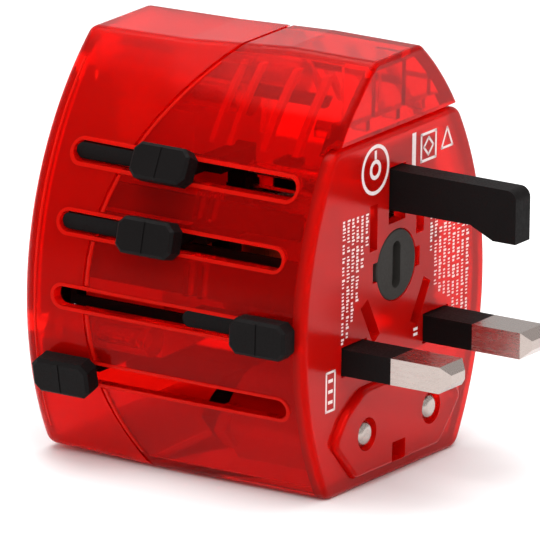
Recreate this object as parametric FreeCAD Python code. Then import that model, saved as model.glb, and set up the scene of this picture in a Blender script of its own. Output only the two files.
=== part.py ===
"""Universal travel adapter: a translucent two-part housing with four sliding plugs at the
front and a universal socket at the back.

Frame: +Z up, the plugs slide out along -Y, the thumb sliders are on the -X side. The origin is
on the resting face, below the middle of the housing. All sizes are in millimetres.
"""
import FreeCAD, Part
import math
import os

V = FreeCAD.Vector

# ---------------------------------------------------------------- housing, overall
WIDTH = 49.4            # widest, across the bulging sides
HEIGHT = 63.2
DEPTH = 49.0            # front plate to back face
WIDEST_Z = 25.1         # height at which the sides bulge most
TOP_FLAT = 12.4         # width of the flat top
WALL = 1.8
BACK_WALL = 2.0
BOTTOM_CORNER_R = 2.5
TOP_CORNER_R = 2.0
BACK_EDGE_R = TOP_CORNER_R - 0.2
# depth, then how far the top, the bottom and each side have drawn in there
NARROWING = ((0.0, 0.0, 0.0, 0.0), (15.0, 0.0, 0.0, 0.0), (32.0, 1.15, 0.0, 0.2), (DEPTH, 1.55, 0.6, 0.6))
FOOT_TRIM = 0.01        # skimmed off the underside to leave a true plane
SEAM_R = 48.0           # the seam between the shells is an arc that bulges backwards
SEAM_BACK = 38.0        # furthest depth of the seam
SEAM_Z = 27.1
SEAM_GROOVE_W = 0.45    # open groove that shows the seam, just behind it
SEAM_GROOVE_DEPTH = 0.4
MOVE_GAP = 0.3          # room between pieces that slide past each other
SEAT_GAP = 0.1          # room between pieces that are put together and stay
OVER = 1.0              # how far a cut runs past the face it goes through
SINK = 0.5              # how far features of one solid run into each other

# ---------------------------------------------------------------- front plate
PLATE_T = 2.0
PLATE_TOP = 51.9
GROOVE = 0.6            # open groove between the plate and the facet above it
PLATE_CORNER_R = 3.2
PLATE_EDGE_R = 0.9
SPIGOT_DEPTH = 1.0
SPIGOT_T = 0.8
SPIGOT_DROP = 2.0       # top of the spigot below the facet
FACET_T = 2.0
FACET_EDGE_R = 0.7
SHELF_T = 1.6
SHELF_HALF = 2.0        # shelf above and below the facet's lower edge
FACET_RIBS_X = (-12.7, -5.3, 2.9, 9.8)
FACET_RIB_T = 1.0
FACET_RIB_DEPTH = 4.0
CARRIAGE_FRONT = PLATE_T + 1.3      # front of a carriage whose plug is fully out
CARRIAGE_T = 3.0

# ---------------------------------------------------------------- thumb sliders
SLOT_H = 3.0
BAR_H = 2.4
BAR_REACH_IN = 3.2      # how far a slider bar reaches in past the wall
BAR_SINK = 0.8          # outer face of the bar below the housing's surface
KNOB_L = 9.6
KNOB_W = 5.4
KNOB_T = 2.9
KNOB_CORNER = 1.1        # cut off each of the four upright corners
KNOB_EDGE = 0.45        # bevel round the top
KNOB_LINE_W = 0.25      # shallow line across the middle of the top
KNOB_LINE_DEPTH = 0.12
KNOB_LIFT = 0.35        # gap between a knob and the housing
KNOB_STEM_RISE = 1.2    # how far the stem reaches up into the knob
KNOB_STEM_IN = 2.0
AUS_SLOT_Z = 36.5
US_SLOT_Z = 46.3
UK_SLOT_Z = 25.55
EURO_SLOT_Z = 14.4
SLOT_FRONT = 4.9
SLOT_REAR = 43.4
UK_SLOT_FRONT = 2.9
EURO_SLOT_REAR = 46.2
EURO_SLOT_FRONT = 3.6
PLUG_TRAVEL = 17.6      # US and Australian plugs
UK_TRAVEL = 21.7
EURO_TRAVEL = 34.0
KNOB_MID_REST = 26.7    # depth of the retracted US and Australian knobs
UK_KNOB_MID = 6.3
EURO_KNOB_MID = 40.7

# ---------------------------------------------------------------- British plug
UK_PIN_PITCH = 22.23
UK_PIN_W = 6.35
UK_PIN_H = 3.97
UK_PIN_L = 17.7
UK_PIN_Z = 20.1
UK_SLEEVE_L = 8.2
UK_CORE_INSET = 0.6
UK_TAIL = 0.5
UK_TIP_CHAMFER = 1.3
UK_EARTH_RISE = 22.23
UK_EARTH_W = 3.97
UK_EARTH_H = 7.92
UK_EARTH_L = 21.3
UK_EARTH_NECK_H = 6.1
UK_EARTH_NECK_L = 13.6
UK_EARTH_FOOT_L = 3.8
UK_EARTH_TIP_R = 1.6
UK_BAR_BOTTOM = 16.4
UK_BAR_TOP = 20.0
UK_LOBE_MARGIN = 0.9
UK_STEM_W = 3.4
UK_LINK_COVER = 1.1     # carriage above the earth pin
UK_EARTH_CHEEK = 1.5    # carriage on each side of the earth pin
UK_LOBE_RISE = 0.4      # carriage above the flat pins
UK_ARM_W = 2.0
UK_STEM_GAP = 0.9       # between the stem and the Australian blade holder

# ---------------------------------------------------------------- American plug
US_PITCH = 12.7
US_BLADE_T = 1.5
US_BLADE_H = 6.35
US_BLADE_L = 16.0
US_Z = 38.5
US_LOBE_X = 1.2
US_LOBE_Z = 0.7
US_BAR_H = 2.4
US_RISER_IN = 0.6       # riser on the inner side of the left blade
BLADE_TAIL = 1.0        # blade behind its carriage
BLADE_TIP_CHAMFER = 0.45

# ---------------------------------------------------------------- Australian plug
AUS_PITCH = 13.7
AUS_BLADE_T = 1.6
AUS_BLADE_H = 6.35
AUS_BLADE_L = 16.0
AUS_Z = 24.6
AUS_TILT = 30.0
AUS_LOBE_MARGIN = 0.7
AUS_RISER_W = 3.4
AUS_RISER_RISE = 0.6    # foot of the riser above the blades' middle
AUS_BAR_BOTTOM = 22.6
AUS_BAR_IN = 0.5
AUS_FUSE_GAP = 0.5      # below the fuse tube
GUIDE_ROD_Z = {"uk": 33.0, "us": 44.4, "aus": 31.5}

# ---------------------------------------------------------------- European plug
EURO_Z = 8.2            # height of the block's side points
EURO_HALF_W = 17.3
EURO_BOTTOM = WALL + MOVE_GAP
EURO_BOTTOM_HALF = 11.3
EURO_TOP = 15.0
EURO_TOP_HALF = 9.4
EURO_SHOULDER_HALF = 14.4
EURO_SHOULDER_DROP = 3.0
EURO_CORNER_R = 1.5
EURO_SHOULDER_R = 5.0
EURO_INNER_R = 0.4      # smallest corner inside the block
FILLET_SHARE = 0.45     # most of a side that one corner's fillet may take
EURO_BLOCK_L = 19.8
EURO_BLOCK_PROUD = 1.0
EURO_BLOCK_FACE_T = 1.8
EURO_BLOCK_WALL = 1.6
EURO_BLOCK_TRAVEL = 14.6
EURO_FACE_R = 0.6       # round of the block's front edge
EURO_WING = 0.9         # the wings stand this far out at the side points
EURO_WING_T = 1.8
EURO_WING_HALF = 3.0
EURO_INNER_GAP = 0.4    # between the pin plate and the block's walls
EURO_SPINE_HALF = 3.0
EURO_SPINE_FOOT = 1.2   # underside of the spine above the pins' middle
EURO_TIP_R = 1.2
EURO_PIN_PITCH = 17.5
EURO_PIN_R = 2.0
EURO_CORE_R = 1.3
EURO_TIP_L = 10.0
EURO_HOLE_R = 2.5
EURO_KEY_W = 3.6
EURO_KEY_H = 3.0
EURO_KEY_Z = 3.8
EURO_NECK_L = 5.1
EURO_NECK_BACK = 0.8    # the neck's middle behind the knob's

# ---------------------------------------------------------------- fuse
FUSE_Z = 31.6
FUSE_R = 2.6
FUSE_L = 20.0
FUSE_CAP_L = 5.0
FUSE_IN = 1.9           # fuse behind the front of the carriages
FUSE_TUBE_R = 3.5
FUSE_TUBE_BORE = 2.75
CAP_R = 5.3
CAP_SLOT_W = 2.2
CAP_SLOT_H = 7.1
CAP_SLOT_DEPTH = 1.2
CAP_STEM_R = 2.4
CAP_EDGE_R = 0.3
CAP_SKIRT = 0.2         # cap behind the plate, so that its lugs turn freely
CERAMIC_INSET = 0.2     # ceramic tube inside the fuse's end caps
CERAMIC_END = 0.4
LUG_REACH = 6.1
LUG_W = 2.4
LUG_T = 0.8
SPRING_WIRE_R = 0.25
FUSE_SPRING_TURNS = 5

# ---------------------------------------------------------------- socket and contacts
SOCKET_Z = 22.5         # height of the socket's two line holes
CARRIER_FRONT = 29.0
CARRIER_WALL = 1.2
CARRIER_FRONT_T = 2.2
CARRIER_SIDE_GAP = 0.2   # between the carrier and the bosses beside it
CARRIER_HALF_HIGH = 9.0
CARRIER_BOTTOM = 16.8
CARRIER_STEP_Z = 36.0
CARRIER_TOP = 51.5
SHUTTER_T = 1.6
SHUTTER_HALF = 15.6
SHUTTER_BOTTOM = 17.9
SHUTTER_H = 9.2
FACE_INSET = 4.4        # rim of the shell left round the socket insert
FACE_FLANGE = 2.0
FACE_FLANGE_T = 1.1
FACE_ROOM = 2.9         # kept clear of bosses in front of the flange
FACE_SINK = 0.4         # the insert's face below the back
FACE_BOTTOM = 14.8
FACE_TOP = 54.0
LINE_HOLE_W = 7.4
LINE_HOLE_H = 4.8
EARTH_HOLE_W = 4.8
EARTH_HOLE_H = 8.8
BLADE_HOLE_W = 2.2
BLADE_HOLE_H = 8.4
GUIDE_T = 0.8
GUIDE_FRONT = 5.0
GUIDE_REAR = 44.6
GUIDE_BRIDGE = 1.0      # strip that ties the cheek's fingers together at the rear
GUIDE_BOSS_GAP = 0.2    # between a cheek and the screw boss below it
GUIDE_SLOT_GAP = 2.8    # between a cheek and the uppermost slot
POCKET_MARGIN = 0.5
EARTH_POCKET_WALL = 0.8 # room round the earth hole inside the carrier
EARTH_WEB_T = 1.2       # carrier wall beside that room
STRIP_T = 0.6
TONGUE_HALF = 1.2
TONGUE_TIP = 1.4        # how far the live tongue reaches past the fuse's middle
CONTACT_GAP_IN = 0.2
CONTACT_GAP_OUT = 0.3
LEAF_FIT = 0.2          # room between a leaf and a flat pin
LEAF_END_GAP = 0.6      # leaves end this far inside the carrier
BUSBAR_X = 5.5
BUSBAR_T = 0.8
BUSBAR_FRONT = 6.5
BUSBAR_Z = (28.7, 34.0)
SPRING_X = 13.0
SPRING_COIL_R = 1.2
SPRING_L = 13.6
SPRING_TURNS = 7
LEDGE_HALF = 2.0
LEDGE_T = 1.4
LEDGE_PROUD = 0.8       # ledge in front of the shutter
SHUTTER_GAP = 0.9       # between the shutter and the face's flange
SHUTTER_FRONT_GAP = 1.0

# ---------------------------------------------------------------- fasteners and guides
ROD_R = 0.9
ROD_FIT = 0.1
BOSS_R = 2.4
BOSS_EXTRA = 3.0        # boss in front of the screw's tip
BOSS_WEB_T = 1.2
SCREW_R = 1.1
SCREW_HEAD_R = 2.0
SCREW_HEAD_T = 1.4
SCREW_ENGAGE = 6.0
SCREW_SEAT = 5.5        # shoulder behind the seam
SCREW_DRIVE_W = 0.6
SCREW_DRIVE_L = 2.4
SCREW_DRIVE_DEPTH = 0.7
TOP_SCREW_X = 7.0
TOP_SCREW_DROP = 8.7
SIDE_SCREW_Z = 20.0
SIDE_SCREW_IN = 3.0
RIB_DEPTHS = (18.6, 21.0)
RIB_T = 0.9
RIB_REACH = 1.4

# ---------------------------------------------------------------- values worked out from these
SIDE_SAG = WIDTH / 2 - TOP_FLAT / 2
SIDE_R = ((HEIGHT - WIDEST_Z) ** 2 + SIDE_SAG ** 2) / (2 * SIDE_SAG)
FACET_BOTTOM = PLATE_TOP + GROOVE
BACK_INNER = DEPTH - BACK_WALL
RETRACTED = CARRIAGE_FRONT + PLUG_TRAVEL
UK_EARTH_Z = UK_PIN_Z + UK_EARTH_RISE
EURO_PLATE_FRONT = EURO_BLOCK_FACE_T - EURO_BLOCK_PROUD + EURO_TRAVEL - EURO_BLOCK_TRAVEL + 2 * SEAT_GAP
FACE_BACK = BACK_INNER - FACE_FLANGE_T
SHUTTER_BACK = FACE_BACK - SHUTTER_GAP
CARRIER_REAR = SHUTTER_BACK - SHUTTER_T - SHUTTER_FRONT_GAP
FUSE_FRONT = CARRIAGE_FRONT + FUSE_IN


def half_width(z, inset=0.0):
    """Half the housing's width at height z, near the front."""
    r = SIDE_R - inset
    return math.sqrt(r * r - (z - WIDEST_Z) ** 2) - (SIDE_R - WIDTH / 2)


def box(x0, x1, y0, y1, z0, z1):
    return Part.makeBox(x1 - x0, y1 - y0, z1 - z0, V(x0, y0, z0))


def rod(x, z, r, y0, y1):
    """A round bar along Y."""
    return Part.makeCylinder(r, y1 - y0, V(x, y0, z), V(0, 1, 0))


def prism(points, y0, y1):
    """A straight bar along Y with the given (x, z) corners."""
    corners = [V(x, y0, z) for x, z in points]
    face = Part.Face(Part.makePolygon(corners + [corners[0]]))
    return face.extrude(V(0, y1 - y0, 0))


def fuse(shapes):
    return shapes[0].multiFuse(shapes[1:]).removeSplitter()


def mirrored(shape):
    return shape.mirror(V(0, 0, 0), V(1, 0, 0))


def pair(shape):
    """The shape and its mirror image, as separate solids."""
    return Part.makeCompound([shape, mirrored(shape)])


def edges_where(shape, test):
    return [edge for edge in shape.Edges if all(test(v.Point) for v in edge.Vertexes)]


def offset_polygon(points, distance):
    """A convex polygon grown by a distance; its points run anticlockwise seen from the front."""
    count = len(points)
    lines = []
    for i in range(count):
        (x0, z0), (x1, z1) = points[i], points[(i + 1) % count]
        length = math.hypot(x1 - x0, z1 - z0)
        nx, nz = (z1 - z0) / length, -(x1 - x0) / length
        lines.append((nx, nz, nx * x0 + nz * z0 + distance))
    grown = []
    for i in range(count):
        a0, b0, c0 = lines[i - 1]
        a1, b1, c1 = lines[i]
        det = a0 * b1 - a1 * b0
        grown.append(((c0 * b1 - c1 * b0) / det, (a0 * c1 - a1 * c0) / det))
    return grown


def drawn_in(y):
    """How far the top, bottom and sides have drawn in at depth y."""
    for before, after in zip(NARROWING, NARROWING[1:]):
        if y <= after[0]:
            break
    share = max(0.0, (y - before[0]) / (after[0] - before[0]))
    return [a + (b - a) * share for a, b in zip(before[1:], after[1:])]


def outline(y, inset=0.0, top=None, bottom_r=None, top_r=None):
    """The housing's closed outline at depth y, drawn in from its surface by inset."""
    drop, rise, narrow = drawn_in(y)
    z_top = HEIGHT - drop - inset if top is None else top
    z_bottom = rise + inset - FOOT_TRIM
    centre_x = WIDTH / 2 - narrow - SIDE_R
    r_side = SIDE_R - inset
    radii = (max(BOTTOM_CORNER_R - inset, 0.5) if bottom_r is None else bottom_r,
             max(TOP_CORNER_R - inset, 0.5) if top_r is None else top_r)
    right = []
    for radius, z_line, side in ((radii[0], z_bottom, -1), (radii[1], z_top, 1)):
        cz = z_line - side * radius
        cx = centre_x + math.sqrt((r_side - radius) ** 2 - (cz - WIDEST_Z) ** 2)
        dx, dz = cx - centre_x, cz - WIDEST_Z
        length = math.hypot(dx, dz)
        dx, dz = dx / length, dz / length
        mx, mz = dx, dz + side
        m_length = math.hypot(mx, mz)
        on_line = (cx, z_line)
        middle = (cx + radius * mx / m_length, cz + radius * mz / m_length)
        on_side = (centre_x + r_side * dx, WIDEST_Z + r_side * dz)
        right.append((on_line, middle, on_side))
    (b_line, b_mid, b_side), (t_line, t_mid, t_side) = right
    middle = (centre_x + r_side, WIDEST_Z)

    def at(p, flip=1):
        return V(flip * p[0], y, p[1])

    edges = [Part.LineSegment(at(b_line, -1), at(b_line)).toShape()]
    edges.append(Part.Arc(at(b_line), at(b_mid), at(b_side)).toShape())
    edges.append(Part.Arc(at(b_side), at(middle), at(t_side)).toShape())
    edges.append(Part.Arc(at(t_side), at(t_mid), at(t_line)).toShape())
    edges.append(Part.LineSegment(at(t_line), at(t_line, -1)).toShape())
    edges.append(Part.Arc(at(t_line, -1), at(t_mid, -1), at(t_side, -1)).toShape())
    edges.append(Part.Arc(at(t_side, -1), at(middle, -1), at(b_side, -1)).toShape())
    edges.append(Part.Arc(at(b_side, -1), at(b_mid, -1), at(b_line, -1)).toShape())
    return Part.Wire(edges)


def housing_solid(y0, y1, inset=0.0):
    """The housing's full outer shape, or the hollow inside it."""
    depths = [y0] + [row[0] for row in NARROWING if y0 < row[0] < y1] + [y1]
    return Part.makeLoft([outline(depth, inset) for depth in depths], True, True)


def under_floor():
    return box(-WIDTH, WIDTH, -OVER, DEPTH + OVER, -OVER, 0)


def seam_cylinder(grow=0.0):
    length = 2 * WIDTH
    return Part.makeCylinder(SEAM_R + grow, length, V(-WIDTH, SEAM_BACK - SEAM_R, SEAM_Z), V(1, 0, 0))


def seam_groove():
    skin = housing_solid(-OVER, DEPTH).cut(housing_solid(-2 * OVER, DEPTH + OVER, SEAM_GROOVE_DEPTH))
    return skin.common(seam_cylinder(SEAM_GROOVE_W).cut(seam_cylinder()))


def seam_depth(z):
    return SEAM_BACK - SEAM_R + math.sqrt(SEAM_R ** 2 - (z - SEAM_Z) ** 2)


def round_ended(x0, x1, y0, y1, z, height):
    """A bar along Y whose two ends are rounded, seen from the side."""
    r = height / 2
    middle = box(x0, x1, y0 + r, y1 - r, z - r, z + r)
    front = Part.makeCylinder(r, x1 - x0, V(x0, y0 + r, z), V(1, 0, 0))
    rear = Part.makeCylinder(r, x1 - x0, V(x0, y1 - r, z), V(1, 0, 0))
    return middle.fuse([front, rear]).removeSplitter()


def slot_cut(z, y0, y1):
    """A round-ended slot through the left wall."""
    return round_ended(-WIDTH / 2 - OVER, -half_width(z) + WALL + RIB_REACH, y0, y1, z, SLOT_H)


SLOTS = ((US_SLOT_Z, SLOT_FRONT, SLOT_REAR), (AUS_SLOT_Z, SLOT_FRONT, SLOT_REAR),
         (UK_SLOT_Z, UK_SLOT_FRONT, SLOT_REAR), (EURO_SLOT_Z, EURO_SLOT_FRONT, EURO_SLOT_REAR))
SIDE_SCREW_X = half_width(SIDE_SCREW_Z) - WALL - SIDE_SCREW_IN
CARRIER_HALF_LOW = SIDE_SCREW_X - BOSS_R - CARRIER_SIDE_GAP
SCREWS = ((-TOP_SCREW_X, HEIGHT - TOP_SCREW_DROP), (TOP_SCREW_X, HEIGHT - TOP_SCREW_DROP),
          (-SIDE_SCREW_X, SIDE_SCREW_Z), (SIDE_SCREW_X, SIDE_SCREW_Z))


def screw_seat(z):
    """Depth of the shoulder that a screw's head pulls on."""
    return seam_depth(z) + SCREW_SEAT


def screw_boss(x, z):
    """The column that a screw goes into, with a web to the nearest wall."""
    span = (seam_depth(z) - SCREW_ENGAGE - BOSS_EXTRA, DEPTH - SINK)
    half = BOSS_WEB_T / 2
    if abs(x) > TOP_SCREW_X:
        far = math.copysign(half_width(z) - SINK, x)
        web = box(min(x, far), max(x, far), *span, z - half, z + half)
    else:
        web = box(x - half, x + half, *span, z, HEIGHT - SINK)
    return rod(x, z, BOSS_R, *span).fuse(web)


def window(y0, y1, inset):
    """A bar with the housing's own curved sides, cut level above and below."""
    whole = Part.Face(outline(DEPTH, inset)).extrude(V(0, y1 - y0, 0))
    whole.translate(V(0, y0 - DEPTH, 0))
    grow = FACE_INSET - inset
    return whole.common(box(-WIDTH, WIDTH, y0, y1, FACE_BOTTOM - grow, FACE_TOP + grow))


def shells():
    """The housing's hollow body, split along the seam into a front and a rear shell."""
    outer = housing_solid(0.0, DEPTH)
    outer = outer.makeFillet(BACK_EDGE_R, edges_where(outer, lambda p: abs(p.y - DEPTH) < 1e-6))
    whole = outer.cut(housing_solid(-OVER, BACK_INNER, WALL))
    added = [outer.common(box(-WIDTH, WIDTH, 0, FACET_T, FACET_BOTTOM, HEIGHT))]
    shelf = box(-WIDTH, WIDTH, PLATE_T, PLATE_T + SHELF_T,
                FACET_BOTTOM - SHELF_HALF, FACET_BOTTOM + SHELF_HALF)
    added.append(outer.common(shelf))
    for x in FACET_RIBS_X:
        rib = box(x - FACET_RIB_T / 2, x + FACET_RIB_T / 2, FACET_T - SINK,
                  FACET_T + FACET_RIB_DEPTH, FACET_BOTTOM, HEIGHT)
        added.append(outer.common(rib))
    ring = outer.cut(housing_solid(-OVER, BACK_INNER, WALL + RIB_REACH))
    for depth in RIB_DEPTHS:
        for z0, z1 in ((UK_SLOT_Z, AUS_SLOT_Z), (AUS_SLOT_Z, US_SLOT_Z)):
            bay = box(-WIDTH, -WIDTH / 4, depth, depth + RIB_T, z0 + SLOT_H, z1 - SLOT_H)
            added.append(ring.common(bay))
    added += [outer.common(screw_boss(x, z)) for x, z in SCREWS]
    whole = whole.fuse(added).removeSplitter()
    cuts = [slot_cut(z, y0, y1) for z, y0, y1 in SLOTS]
    cuts.append(window(FACE_BACK - OVER, DEPTH + OVER, FACE_INSET))
    cuts.append(window(FACE_BACK - FACE_ROOM, BACK_INNER, FACE_INSET - FACE_FLANGE - SEAT_GAP))
    for x, z in SCREWS:
        seat = screw_seat(z)
        cuts.append(rod(x, z, SCREW_R, seam_depth(z) - SCREW_ENGAGE - OVER, seat + OVER))
        cuts.append(rod(x, z, SCREW_HEAD_R + SEAT_GAP, seat, DEPTH + OVER))
    cuts.append(box(-WIDTH, WIDTH, -OVER, PLATE_T, -OVER, FACET_BOTTOM))
    cuts.append(under_floor())
    whole = whole.cut(cuts)
    seam = seam_cylinder()
    return whole.common(seam), whole.cut([seam, seam_groove()])


def front_shell():
    shell = shells()[0]
    front_rim = edges_where(shell, lambda p: abs(p.y) < 1e-6 and p.z > FACET_BOTTOM + SEAT_GAP)
    return shell.makeFillet(FACET_EDGE_R, front_rim)


def rear_shell():
    return shells()[1]


# ---------------------------------------------------------------- sections that the plugs use

def euro_outline():
    """The block's outline, anticlockwise from below: pointed sides and round shoulders."""
    shoulder_z = EURO_TOP - EURO_SHOULDER_DROP
    right = [(EURO_BOTTOM_HALF, EURO_BOTTOM), (EURO_HALF_W, EURO_Z), (EURO_SHOULDER_HALF, shoulder_z),
             (EURO_TOP_HALF, EURO_TOP)]
    return right + [(-x, z) for x, z in reversed(right)]


def fitting_radius(corners, i, wanted):
    """The wanted fillet at a corner, or the largest that its two sides leave room for."""
    (ax, az), (bx, bz), (cx, cz) = corners[i - 1], corners[i], corners[(i + 1) % len(corners)]
    turn = math.atan2(cz - bz, cx - bx) - math.atan2(bz - az, bx - ax)
    half_turn = abs(math.remainder(turn, math.tau)) / 2
    shorter = min(math.hypot(bx - ax, bz - az), math.hypot(cx - bx, cz - bz))
    return min(wanted, FILLET_SHARE * shorter / math.tan(half_turn))


def euro_bar(grow, y0, y1):
    """A bar with the block's outline, grown or shrunk all round."""
    corners = offset_polygon(euro_outline(), grow)
    bar = prism(corners, y0, y1)
    for i, (x, z) in enumerate(corners):
        wanted = EURO_SHOULDER_R if 2 <= i <= 5 else EURO_CORNER_R
        radius = fitting_radius(corners, i, max(wanted + grow, EURO_INNER_R))
        at_corner = edges_where(bar, lambda p: math.hypot(p.x - x, p.z - z) < 1e-4)
        bar = bar.makeFillet(radius, at_corner)
    return bar


def centred(x, z, width, height, y0, y1):
    return box(x - width / 2, x + width / 2, y0, y1, z - height / 2, z + height / 2)


def tilted(x, z, width, height, tilt, y0, y1):
    """A bar with a rectangular section leaning outwards at the top by tilt degrees."""
    bar = centred(x, z, width, height, y0, y1)
    bar.rotate(V(x, 0, z), V(0, 1, 0), tilt)
    return bar


def uk_pin_bar(grow, y0, y1):
    return centred(UK_PIN_PITCH / 2, UK_PIN_Z, UK_PIN_W + 2 * grow, UK_PIN_H + 2 * grow, y0, y1)


def us_blade_bar(grow, y0, y1):
    return centred(US_PITCH / 2, US_Z, US_BLADE_T + 2 * grow, US_BLADE_H + 2 * grow, y0, y1)


def aus_blade_bar(grow, y0, y1):
    return tilted(AUS_PITCH / 2, AUS_Z, AUS_BLADE_T + 2 * grow, AUS_BLADE_H + 2 * grow, AUS_TILT, y0, y1)


def front_plate():
    """The face that every plug comes out through."""
    plate = Part.Face(outline(0, 0, PLATE_TOP, None, PLATE_CORNER_R)).extrude(V(0, PLATE_T, 0))
    plate = plate.makeFillet(PLATE_EDGE_R, edges_where(plate, lambda p: abs(p.y) < 1e-6))
    top = FACET_BOTTOM - SPIGOT_DROP - SEAT_GAP
    rim = Part.Face(outline(0, WALL + SEAT_GAP, top)).extrude(V(0, SPIGOT_DEPTH + SINK, 0))
    bore = Part.Face(outline(0, WALL + SEAT_GAP + SPIGOT_T, top - SPIGOT_T)).extrude(V(0, DEPTH, 0))
    rim.translate(V(0, PLATE_T - SINK, 0))
    plate = plate.fuse(rim.cut(bore)).removeSplitter()
    reach = (-OVER, PLATE_T + SPIGOT_DEPTH + OVER)
    cuts = [euro_bar(MOVE_GAP, *reach), under_floor()]
    for bar in (uk_pin_bar(MOVE_GAP, *reach), us_blade_bar(MOVE_GAP, *reach),
                aus_blade_bar(MOVE_GAP, *reach)):
        cuts.append(bar)
        cuts.append(mirrored(bar))
    earth = centred(0, UK_EARTH_Z, UK_EARTH_W + 2 * MOVE_GAP, UK_EARTH_H + 2 * MOVE_GAP, *reach)
    cuts.append(earth)
    cuts.append(rod(0, FUSE_Z, CAP_R + SEAT_GAP, *reach))
    notch = LUG_REACH + MOVE_GAP
    cuts.append(centred(0, FUSE_Z, 2 * notch, LUG_W + 2 * MOVE_GAP, *reach))
    return plate.cut(cuts)


# ---------------------------------------------------------------- slider knobs

def knob(slot_z, knob_mid, bar_y0, bar_y1):
    """A thumb knob on the left wall, with the bar that fills its slot."""
    surface = half_width(slot_z)
    lean = math.degrees(math.asin((slot_z - WIDEST_Z) / SIDE_R))
    cap = Part.makeBox(KNOB_W, KNOB_L, KNOB_T, V(-KNOB_W / 2, knob_mid - KNOB_L / 2, KNOB_LIFT))
    top = KNOB_LIFT + KNOB_T
    upright = [edge for edge in cap.Edges if abs(edge.Vertexes[0].Z - edge.Vertexes[1].Z) > 1]
    cap = cap.makeChamfer(KNOB_CORNER, upright)
    cap = cap.makeChamfer(KNOB_EDGE, edges_where(cap, lambda p: abs(p.z - top) < 1e-6))
    line_y = knob_mid - KNOB_LINE_W / 2
    cap = cap.cut(Part.makeBox(KNOB_W, KNOB_LINE_W, OVER, V(-KNOB_W / 2, line_y, top - KNOB_LINE_DEPTH)))
    cap.rotate(V(0, 0, 0), V(0, 1, 0), lean - 90)
    cap.translate(V(-surface, 0, slot_z))
    bar = round_ended(-surface + BAR_SINK, -surface + WALL + BAR_REACH_IN, bar_y0, bar_y1, slot_z, BAR_H)
    stem_y0 = max(knob_mid - KNOB_L / 2, bar_y0) + BAR_H / 2
    stem = box(-surface - KNOB_STEM_RISE, -surface + WALL, stem_y0, knob_mid + KNOB_L / 2 - KNOB_STEM_IN,
               slot_z - BAR_H / 2, slot_z + BAR_H / 2)
    return fuse([cap, bar, stem])


def arm_end(slot_z):
    """Where a carriage's arm meets its slider bar."""
    return -half_width(slot_z) + WALL + BAR_REACH_IN


# ---------------------------------------------------------------- British plug

def uk_pin():
    """One flat metal pin, thinner inside its sleeve, with a chamfered tip."""
    tip = uk_pin_bar(0, -UK_PIN_L, -UK_SLEEVE_L)
    ends = edges_where(tip, lambda p: abs(p.y + UK_PIN_L) < 1e-6)
    tip = tip.makeChamfer(UK_TIP_CHAMFER, ends)
    core = uk_pin_bar(-UK_CORE_INSET, -UK_SLEEVE_L - SINK, CARRIAGE_FRONT + CARRIAGE_T + UK_TAIL)
    return fuse([tip, core])


def uk_pin_sleeves():
    sleeve = uk_pin_bar(0, -UK_SLEEVE_L, CARRIAGE_FRONT)
    sleeve = sleeve.cut(uk_pin_bar(-UK_CORE_INSET, -UK_SLEEVE_L - OVER, CARRIAGE_FRONT + OVER))
    return pair(sleeve)


def uk_earth_pin():
    """The long upper pin: a shallow neck and a full-height foot."""
    top = UK_EARTH_Z + UK_EARTH_H / 2
    neck_bottom = top - UK_EARTH_NECK_H
    foot_bottom = top - UK_EARTH_H
    foot_start = -UK_EARTH_L + UK_EARTH_FOOT_L
    rear = CARRIAGE_FRONT + CARRIAGE_T
    profile = [(rear, top), (-UK_EARTH_L, top), (-UK_EARTH_L, foot_bottom), (foot_start, foot_bottom),
               (-UK_EARTH_NECK_L, neck_bottom), (rear, neck_bottom)]
    corners = [V(-UK_EARTH_W / 2, y, z) for y, z in profile]
    pin = Part.Face(Part.makePolygon(corners + [corners[0]])).extrude(V(UK_EARTH_W, 0, 0))
    tip_top = edges_where(pin, lambda p: abs(p.y + UK_EARTH_L) < 1e-6 and abs(p.z - top) < 1e-6)
    pin = pin.makeFillet(UK_EARTH_TIP_R, tip_top)
    return pin


def uk_neck_bar(grow, y0, y1):
    top = UK_EARTH_Z + UK_EARTH_H / 2
    mid = top - UK_EARTH_NECK_H / 2
    return centred(0, mid, UK_EARTH_W + 2 * grow, UK_EARTH_NECK_H + 2 * grow, y0, y1)


UK_LOBE_OUT = UK_PIN_PITCH / 2 + UK_PIN_W / 2 + UK_LOBE_MARGIN
AUS_LOBE_OUT = (AUS_PITCH / 2 + (AUS_BLADE_H / 2 + AUS_LOBE_MARGIN) * math.sin(math.radians(AUS_TILT))
                + (AUS_BLADE_T / 2 + AUS_LOBE_MARGIN) * math.cos(math.radians(AUS_TILT)))
UK_STEM_X0 = AUS_LOBE_OUT + UK_STEM_GAP
UK_LINK_TOP = UK_EARTH_Z + UK_EARTH_H / 2 + UK_LINK_COVER
US_LOBE_TOP = US_Z + US_BLADE_H / 2 + US_LOBE_Z


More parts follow.
